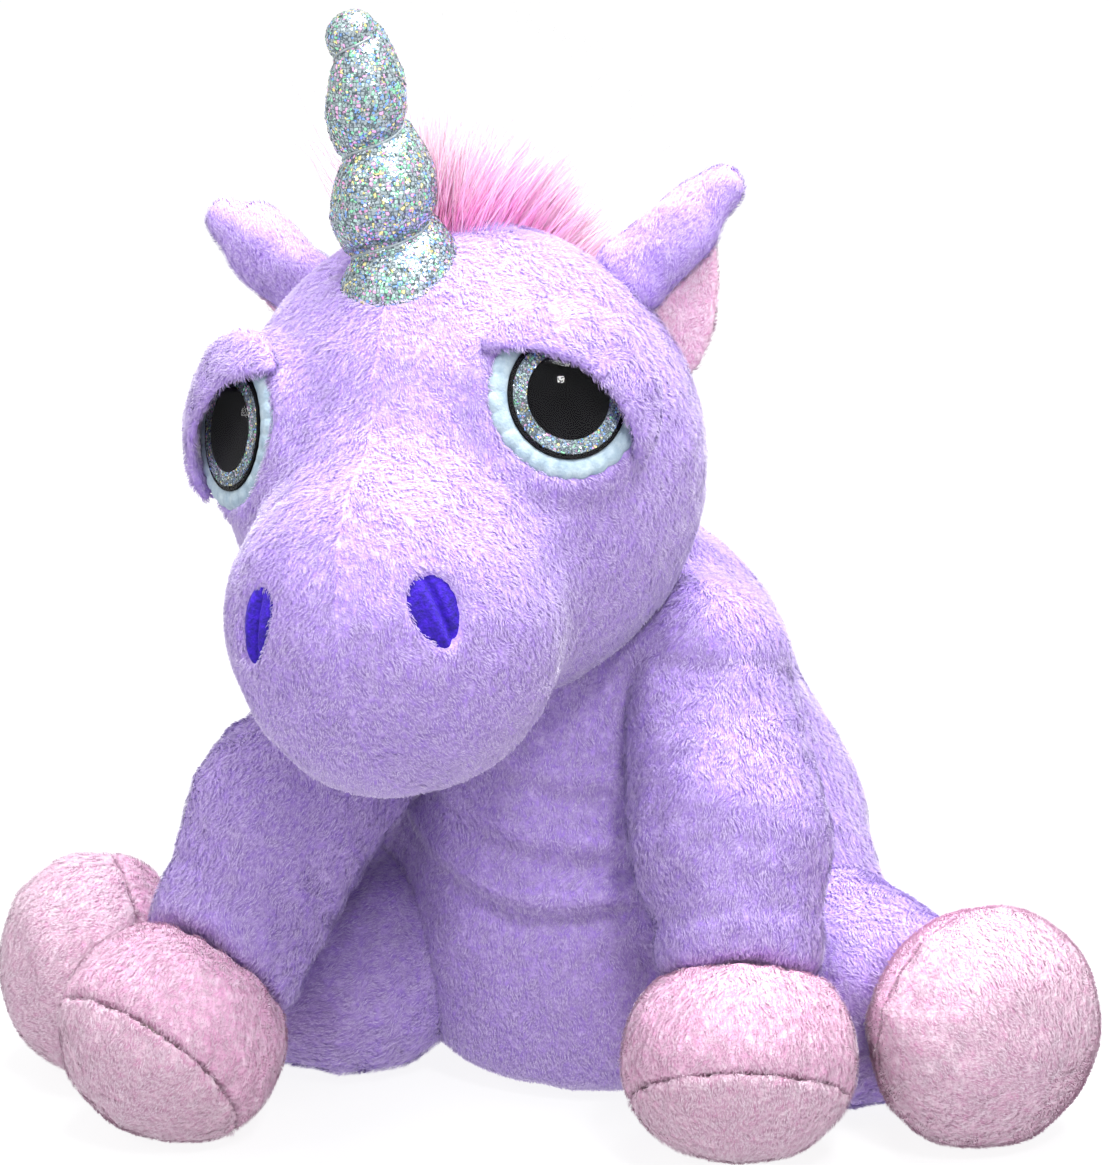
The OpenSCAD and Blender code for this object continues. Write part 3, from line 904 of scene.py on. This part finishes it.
def ear_place(side, p):
    """Points brought to the left ear's side of the head's frame."""
    return (HEAD.into(p) - EAR_MOVE[side]) * np.array([SIDES[side], 1, 1])


EAR_TIP = np.array([74.5, 27, 61])
EAR_LOBE = {"left": np.array([61.0, 21, 10]), "right": np.array([59.0, 21, 30])}
EAR_NORMAL = unit([0.35, -0.93, 0.08])
EAR_INWARD = 9.5


def leaf(q, lobe, swell, thick, shift):
    """A cupped leaf between the ear's tip and its lobe, set in towards the head."""
    long = unit(EAR_TIP - lobe)
    front = unit(EAR_NORMAL - (EAR_NORMAL @ long) * long)
    wide = np.cross(long, front)
    middle = (EAR_TIP + lobe) / 2 + shift * front
    r = q - middle + EAR_INWARD * wide
    u, v, w = r @ long, r @ wide, r @ front
    w = w - 0.012 * v ** 2
    half = np.linalg.norm(EAR_TIP - lobe) / 2
    width = swell * (1 - 0.25 * u / half)
    k = np.sqrt((u / half) ** 2 + (v / width) ** 2)
    return soft_cut((k - 1) * 12, np.abs(w) - thick, 2)


def ear_shell_form(side):
    def form(p):
        q = ear_place(side, p)
        back = leaf(q, EAR_LOBE[side], 9.5, 2.0, -2.5)
        flap = soft_union(
            limb(q, (49, 17, 43), (63, 19, 53), 11, 8.2), limb(q, (63, 19, 53), (73.5, 25, 62), 8.2, 5.8), 5)
        flat = (q - np.array([63, 19, 53])) @ EAR_NORMAL
        flap = soft_cut(flap, np.abs(flat) - 6.0, 5)
        d = soft_union(back, flap, 4)
        return soft_cut(d, -(np.linalg.norm(q, axis=-1) - CRANIUM_R + 5), 2)
    return form


def ear_lining_form(side):
    def form(p):
        q = ear_place(side, p)
        d = leaf(q, EAR_LOBE[side], EAR_WIDTH[side], 1.5, 1.6)
        return soft_cut(d, -(np.linalg.norm(q, axis=-1) - CRANIUM_R + 4), 2)
    return form


for side, s in SIDES.items():
    middle = HEAD.out(np.array([s, 1, 1]) * (EAR_TIP + EAR_LOBE[side]) / 2 + EAR_MOVE[side])
    box = span([middle], 46)

    def ear_flow(p):
        return np.tile(np.array([s * 0.45, 0.1, 1.0]), (len(p), 1))

    shell = soft_piece(f"ear_{side}_plush", ear_shell_form(side), *box, f"ear_{side}", "lilac_plush",
                       lilac_plush, f"ear_{side}_shell", step=1.4, detail=lambda p: 0.35 * lumps(p, 12, 5),
                       fill=0.3)
    pile(f"ear_{side}_pile", *shell, f"ear_{side}", "lilac_plush", lilac_pile, 51 + s, flow=ear_flow)
    lining = soft_piece(f"ear_{side}_pink_lining", ear_lining_form(side), *box, f"ear_{side}", "pink_plush",
                        pink_plush, f"ear_{side}_lining", step=1.3, fill=0.2)
    pile(f"ear_{side}_lining_pile", *lining, f"ear_{side}", "pink_plush", sole_pile, 61 + s, flow=ear_flow,
         length=1.8)

# ---- mane and tail ----


def fluff(name, roots, ways, body, node, reach, seed, width=0.26, curl=0.5):
    """Long fine strands that fan out and bend, deep pink at the root and almost white at the tip."""
    materials = fluff_pile[0]
    rng = np.random.default_rng(seed)
    count = len(roots)
    steps = np.linspace(0, 1, 6)
    bend = unit(rng.normal(size=(count, 3))) * curl + np.array([0.1, 0.25, -0.35])
    length = reach * rng.uniform(0.55, 1.05, count)
    line = [roots + (ways * t + bend * 0.35 * t * t) * length[:, None] for t in steps]
    across = unit(np.cross(ways, rng.normal(size=(count, 3))))
    side = across * (width * rng.uniform(0.6, 1.3, count) / 2)[:, None]
    points = []
    for t, at in zip(steps[:-1], line[:-1]):
        points += [at - side * (1 - 0.6 * t), at + side * (1 - 0.6 * t)]
    points.append(line[-1])
    points = np.stack(points, 1)
    per = points.shape[1]
    start = (np.arange(count) * per)[:, None]
    strips = [start + np.array([[2 * k, 2 * k + 1, 2 * k + 3, 2 * k + 2]]) for k in range(4)]
    ends = start + np.array([[8, 9, 10]])
    tone = rng.random(count)
    which = [np.where(tone < 0.5, 0, 1), np.where(tone < 0.6, 1, 2), np.where(tone < 0.4, 2, 3),
             np.where(tone < 0.3, 3, 4), np.full(count, 4)]
    faces = [np.concatenate(strips), ends]
    obj = new_object(name, points.reshape(-1, 3), faces, materials, np.concatenate(which))
    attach(obj, body)
    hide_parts(node)


MANE_FROM, MANE_TO = 80, 168
MANE_REACH, TAIL_REACH = 58.0, 36.0
rng = np.random.default_rng(71)
count = 19000
round_head = np.radians(rng.uniform(MANE_FROM, MANE_TO, count))
across = rng.normal(2.0, 5.5, count)
spot = np.stack([across, -np.cos(round_head) * CRANIUM_R, np.sin(round_head) * CRANIUM_R], -1)
spot = unit(spot) * (CRANIUM_R - 1)
fan = np.stack([across * 0.03 + 0.03, 0.1 * np.ones(count), 0.25 + 0 * across], -1)
way = unit(unit(spot) + fan + rng.normal(0, 0.15, (count, 3)))
fluff("mane_fluff", HEAD.out(spot), way @ HEAD.axes.T, "head", "mane", MANE_REACH, 72)

tail_box = [np.array(c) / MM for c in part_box("tail")]
tail_top = np.array([(tail_box[0][0] + tail_box[1][0]) / 2, tail_box[0][1] + 8, tail_box[1][2] - 6])
count = 6000
spot = tail_top + rng.normal(0, 2.6, (count, 3))
way = unit(np.array([0, 0.12, -1.0]) + rng.normal(0, 0.13, (count, 3)))
fluff("tail_fluff", spot, way, "torso", "tail", TAIL_REACH, 73, curl=0.2)

# ---- torso ----

TORSO_SPINE = [((-1, 0, 56), 64), ((-8, -8, 100), 51), ((-16, -16, 138), 37)]
LEG_SHAPES = {
    "foreleg_left": dict(
        root=(41, -30, 118), hoof=(60, -86, 27), chain=[((33, -36, 120), 22), ((49, -60, 83), 23.5)],
        ankle=21.5, r=30.9),
    "foreleg_right": dict(
        root=(-55, -34, 98), hoof=(-89, -119.5, 27), chain=[((-50, -40, 114), 22.8), ((-72, -78, 79), 23.4)],
        ankle=22.0, r=30.8),
    "hindleg_left": dict(
        root=(48, -6, 38), hoof=(117, -49, 31), chain=[((48, -6, 38), 27), ((76, -30, 29), 27)],
        ankle=21.5, r=32.6),
    "hindleg_right": dict(
        root=(-53, -20, 39), hoof=(-130, -78, 29), chain=[((-53, -20, 39), 27), ((-65, -50, 27.5), 27.5)],
        ankle=21.5, r=31.5),
}
HOOF_TOP, HOOF_END = 22.0, 26.0
SOLE_SEAM = {"fore": 9.0, "hind": -9.0}         # the hind soles wrap further back, almost to the ankle


def torso_form(p):
    d = limb(p, TORSO_SPINE[0][0], TORSO_SPINE[1][0], TORSO_SPINE[0][1], TORSO_SPINE[1][1])
    d = soft_union(d, limb(p, TORSO_SPINE[1][0], TORSO_SPINE[2][0], TORSO_SPINE[1][1], TORSO_SPINE[2][1]), 16)
    d = soft_union(d, limb(p, (-3, -8, 34), (-1, -4, 50), 60, 64), 14)
    for name in LEGS:
        leg = LEG_SHAPES[name]
        d = soft_union(d, ball(p, leg["chain"][0][0], leg["chain"][0][1] + 0.5), 12)
    d = soft_cut(d, FLOOR_GAP - p[..., 2], 12)
    return soft_cut(d, -(head_ball(p) + 2.0), 2)


# Each fold of the belly: its height, how it sags to the sides, its middle and how far it stands out
BELLY_FOLDS = ((60.0, 0.0074, -1.0, 2.6), (76.0, 0.006, 8.0, 1.7), (93.0, 0.008, 12.0, 1.2))


def torso_detail(p):
    front = np.clip((-p[:, 1] - 12) / 30, 0, 1) * bell(p[:, 0] - 2, 52)
    d = 0.9 * lumps(p, 42, 6)
    for level, sag, middle, height in BELLY_FOLDS:
        miss = p[:, 2] - level - sag * (p[:, 0] - middle) ** 2
        d += front * height * (bell(miss, 3.2) - 0.9 * bell(miss + 6, 3.4))
    return d + 0.3 * lumps(p, 14, 7)


TORSO_LO, TORSO_HI = np.array([-74.0, -72, -4]), np.array([76.0, 74, 190])
torso_mesh = soft_piece(
    "torso_plush", torso_form, TORSO_LO, TORSO_HI, "torso", "lilac_plush", lilac_plush, "torso_skin",
    step=2.0, pinned=lambda p: (p[:, 2] > 150) | (p[:, 2] < 6), cap=3.0, detail=torso_detail)


def clear_of_legs(p):
    """Where pile grows on the torso: not deep in a leg or in the head."""
    inside = np.full(len(p), 1e9)
    for name in LEGS:
        inside = np.minimum(inside, leg_form(name)(p))
    return (inside > -3.5) & (head_ball(p) > -4)


def leg_axis(name):
    """Middle of a leg's hoof and the direction from the leg's root to it."""
    hoof = np.array(LEG_SHAPES[name]["hoof"], float)
    return hoof, unit(hoof - np.array(LEG_SHAPES[name]["root"], float))


def leg_form(name):
    leg = LEG_SHAPES[name]
    hoof, axis = leg_axis(name)
    ankle = hoof - axis * (HOOF_TOP - 1)
    chain = leg["chain"] + [(tuple(ankle), leg["ankle"])]

    def form(p):
        d = None
        for (a, ra), (b, rb) in zip(chain[:-1], chain[1:]):
            part = limb(p, a, b, ra, rb)
            d = part if d is None else soft_union(d, part, 10)
        along = (p - hoof) @ axis
        d = soft_cut(d, along + HOOF_TOP + 0.4, 3)
        d = soft_cut(d, 1.5 - head_ball(p), 4)
        return soft_cut(d, FLOOR_GAP + 0.6 - p[..., 2], 6)
    return form


def hoof_form(name):
    leg = LEG_SHAPES[name]
    hoof, axis = leg_axis(name)
    r = leg["r"]
    back = HOOF_TOP / math.sin(math.acos(leg["ankle"] / r))

    def form(p):
        q = p - hoof
        along = q @ axis
        off = np.linalg.norm(q - along[..., None] * axis, axis=-1)
        reach = np.where(along < 0, back, HOOF_END)
        k = np.sqrt((off / r) ** 2 + (along / reach) ** 2)
        d = (k - 1) * np.minimum(r, reach)
        return soft_cut(d, FLOOR_GAP - p[..., 2], 5)
    return form


FILLING_FROM, PELLETS_TO = 45, 43
pile("torso_pile", *torso_mesh, "torso", "lilac_plush", lilac_pile, 22, keep=clear_of_legs)
inner_piece("torso_filling", lambda p: soft_cut(torso_form(p) + INSET, FILLING_FROM - p[..., 2], 3),
            TORSO_LO, TORSO_HI, "torso", "fibre_fill", fibre, "torso_stuffing", 13)
inner_piece("seat_pellet_bag", lambda p: soft_cut(torso_form(p) + INSET, p[..., 2] - PELLETS_TO, 3),
            TORSO_LO, TORSO_HI, "torso", "pellet_bag", pellets, "seat_pellets", 14)

# ---- legs ----

def build_leg(number, name):
    """Skin, hoof, sole, their pile, the filling and the pellets of one leg."""
    hoof, axis = leg_axis(name)
    leg = LEG_SHAPES[name]
    root = np.array(leg["root"], float)
    skin_form, bun = leg_form(name), hoof_form(name)
    sole_seam = SOLE_SEAM[name[:4]]
    level = unit(np.cross(axis, [0, 0, 1]))
    leg_box = span([c for c, _ in leg["chain"]] + [hoof], 34)
    bun_box = span([hoof], 38)

    def along(p):
        return (p - hoof) @ axis

    def leg_folds(p):
        seam = bell(along(p) + HOOF_TOP, 2.5)
        return 1.0 * lumps(p, 30, 80 + number) + 0.4 * lumps(p, 12, 90 + number) - 0.8 * seam

    def hoof_folds(p):
        turn = np.arctan2((p - hoof) @ np.cross(axis, level), (p - hoof) @ level)
        pucker = np.cos(turn * 17 + 2 * np.sin(turn * 2)) * bell(along(p) - sole_seam, 4.0)
        gather = np.cos(turn * 13 + 1.5 * np.sin(turn * 3)) * bell(along(p) + HOOF_TOP, 5.0)
        pull = bell(along(p) - sole_seam, 2.2) * 0.1 + bell(along(p) + HOOF_TOP, 2.4) * 0.3
        return 0.3 * pucker + 0.3 * gather - pull + 0.5 * lumps(p, 20, 100 + number)

    def sewn_ends(p):
        return (along(p) > -HOOF_TOP - 6) | (np.linalg.norm(p - root, axis=1) < 24)

    def upper_form(p):
        return soft_cut(soft_cut(bun(p), along(p) - sole_seam + 0.1, 1), -along(p) - HOOF_TOP + 0.2, 2)

    def sole_form(p):
        return soft_cut(bun(p), sole_seam + 0.1 - along(p), 1)

    leg_mesh = soft_piece(f"{name}_plush", skin_form, *leg_box, name, "lilac_plush", lilac_plush,
                          f"{name}_skin", step=1.9, pinned=sewn_ends, cap=2.5, detail=leg_folds)
    upper_mesh = soft_piece(f"{name}_hoof_plush", upper_form, *bun_box, name, "pink_plush", pink_plush,
                            f"{name}_hoof", step=1.6, detail=hoof_folds)
    sole_mesh = soft_piece(f"{name}_sole_plush", sole_form, *bun_box, name, "pink_sole_plush", sole_plush,
                           f"{name}_sole", step=1.6, detail=hoof_folds)

    def leg_nap(p):
        return np.tile(axis + np.array([0, 0, -0.2]), (len(p), 1))

    def leg_keep(p):
        return (along(p) < -HOOF_TOP - 1.2) & (torso_form(p) > -3) & (head_ball(p) > 2.5)

    pile(f"{name}_pile", *leg_mesh, name, "lilac_plush", lilac_pile, 110 + number, flow=leg_nap,
         keep=leg_keep, length=2.1)
    pile(f"{name}_hoof_pile", *upper_mesh, name, "pink_plush", pink_pile, 120 + number, flow=leg_nap,
         keep=lambda p: (along(p) > -HOOF_TOP + 1.0) & (bun(p) > -1.2))
    pile(f"{name}_sole_pile", *sole_mesh, name, "pink_sole_plush", sole_pile, 130 + number, flow=leg_nap,
         keep=lambda p: bun(p) > -1.2)
    inner_piece(f"{name}_filling", lambda p: skin_form(p) + INSET, *leg_box, name, "fibre_fill", fibre,
                f"{name}_stuffing", 15 + number)
    inner_piece(f"{name}_pellet_bag", lambda p: soft_cut(bun(p) + INSET, -along(p) - HOOF_TOP + 1, 2),
                *bun_box, name, "pellet_bag", pellets, f"{name}_pellets", 19 + number)


for number, name in enumerate(LEGS):
    build_leg(number, name)

# ---- neck ----

neck_axis = turn_x(37) @ np.array([0, 0, -1.0])


def neck_form(p):
    q = p - HEAD.origin
    return soft_union(ball(q, (0, 0, 0), 18.5), limb(q, neck_axis * 8, neck_axis * 48, 13, 13), 6)


inner_piece("neck_wad", neck_form, *span([HEAD.origin, HEAD.origin + neck_axis * 62], 24), "neck",
            "fibre_fill", fibre, "neck_stuffing", 24)

# ---- floor, lights and camera ----

floor_mat = principled("pale_floor", (96, 96, 98), 0.95, Specular_IOR_Level=0.0,
                       Emission_Color=(1.0, 1.0, 1.0, 1.0), Emission_Strength=0.88)
noise_ramp(floor_mat, 3.0, ((0.3, (94, 94, 97)), (0.7, (98, 98, 99))))
edge = 4000.0      # half the floor's side
floor_points = np.array([[-edge, -edge, 0], [edge, -edge, 0], [edge, edge, 0], [-edge, edge, 0]])
floor = new_object("floor", floor_points, np.array([[0, 1, 2, 3]]), [floor_mat])

world = bpy.data.worlds.new("studio")
world.use_nodes = True
world.node_tree.nodes["Background"].inputs["Color"].default_value = (1.0, 1.0, 1.0, 1.0)
world.node_tree.nodes["Background"].inputs["Strength"].default_value = 1.0
bpy.context.scene.world = world
bpy.context.scene.view_settings.view_transform = "Standard"


def softbox(name, at, aim, size, power):
    light = bpy.data.lights.new(name, "AREA")
    light.shape = "RECTANGLE"
    light.size, light.size_y = size
    light.energy = power
    obj = bpy.data.objects.new(name, light)
    obj.location = at
    obj.rotation_mode = "QUATERNION"
    obj.rotation_quaternion = (Vector(aim) - Vector(at)).to_track_quat("-Z", "Y")
    bpy.context.scene.collection.objects.link(obj)


AIM = (0.0, -0.03, 0.14)
softbox("key", (0.6, -0.75, 1.15), AIM, (0.22, 0.22), 9.0)
softbox("top", (0.15, 0.0, 1.4), AIM, (0.8, 0.8), 44.0)
softbox("fill", (-0.6, -1.0, 0.9), AIM, (0.3, 0.3), 2.5)

CAMERA_AZIMUTH, CAMERA_ELEVATION = 20, 14
CAMERA_AT = (0.4008, -1.1635, 0.4386)
camera = bpy.data.objects.new("camera", bpy.data.cameras.new("camera"))
bpy.context.scene.collection.objects.link(camera)
back = Vector(facing(CAMERA_AZIMUTH, CAMERA_ELEVATION))
camera.data.sensor_width = 36
camera.data.lens = 140.6
camera.data.clip_start, camera.data.clip_end = 0.05, 20
camera.location = CAMERA_AT
camera.rotation_mode = "QUATERNION"
camera.rotation_quaternion = (-back).to_track_quat("-Z", "Y")
bpy.context.scene.camera = camera
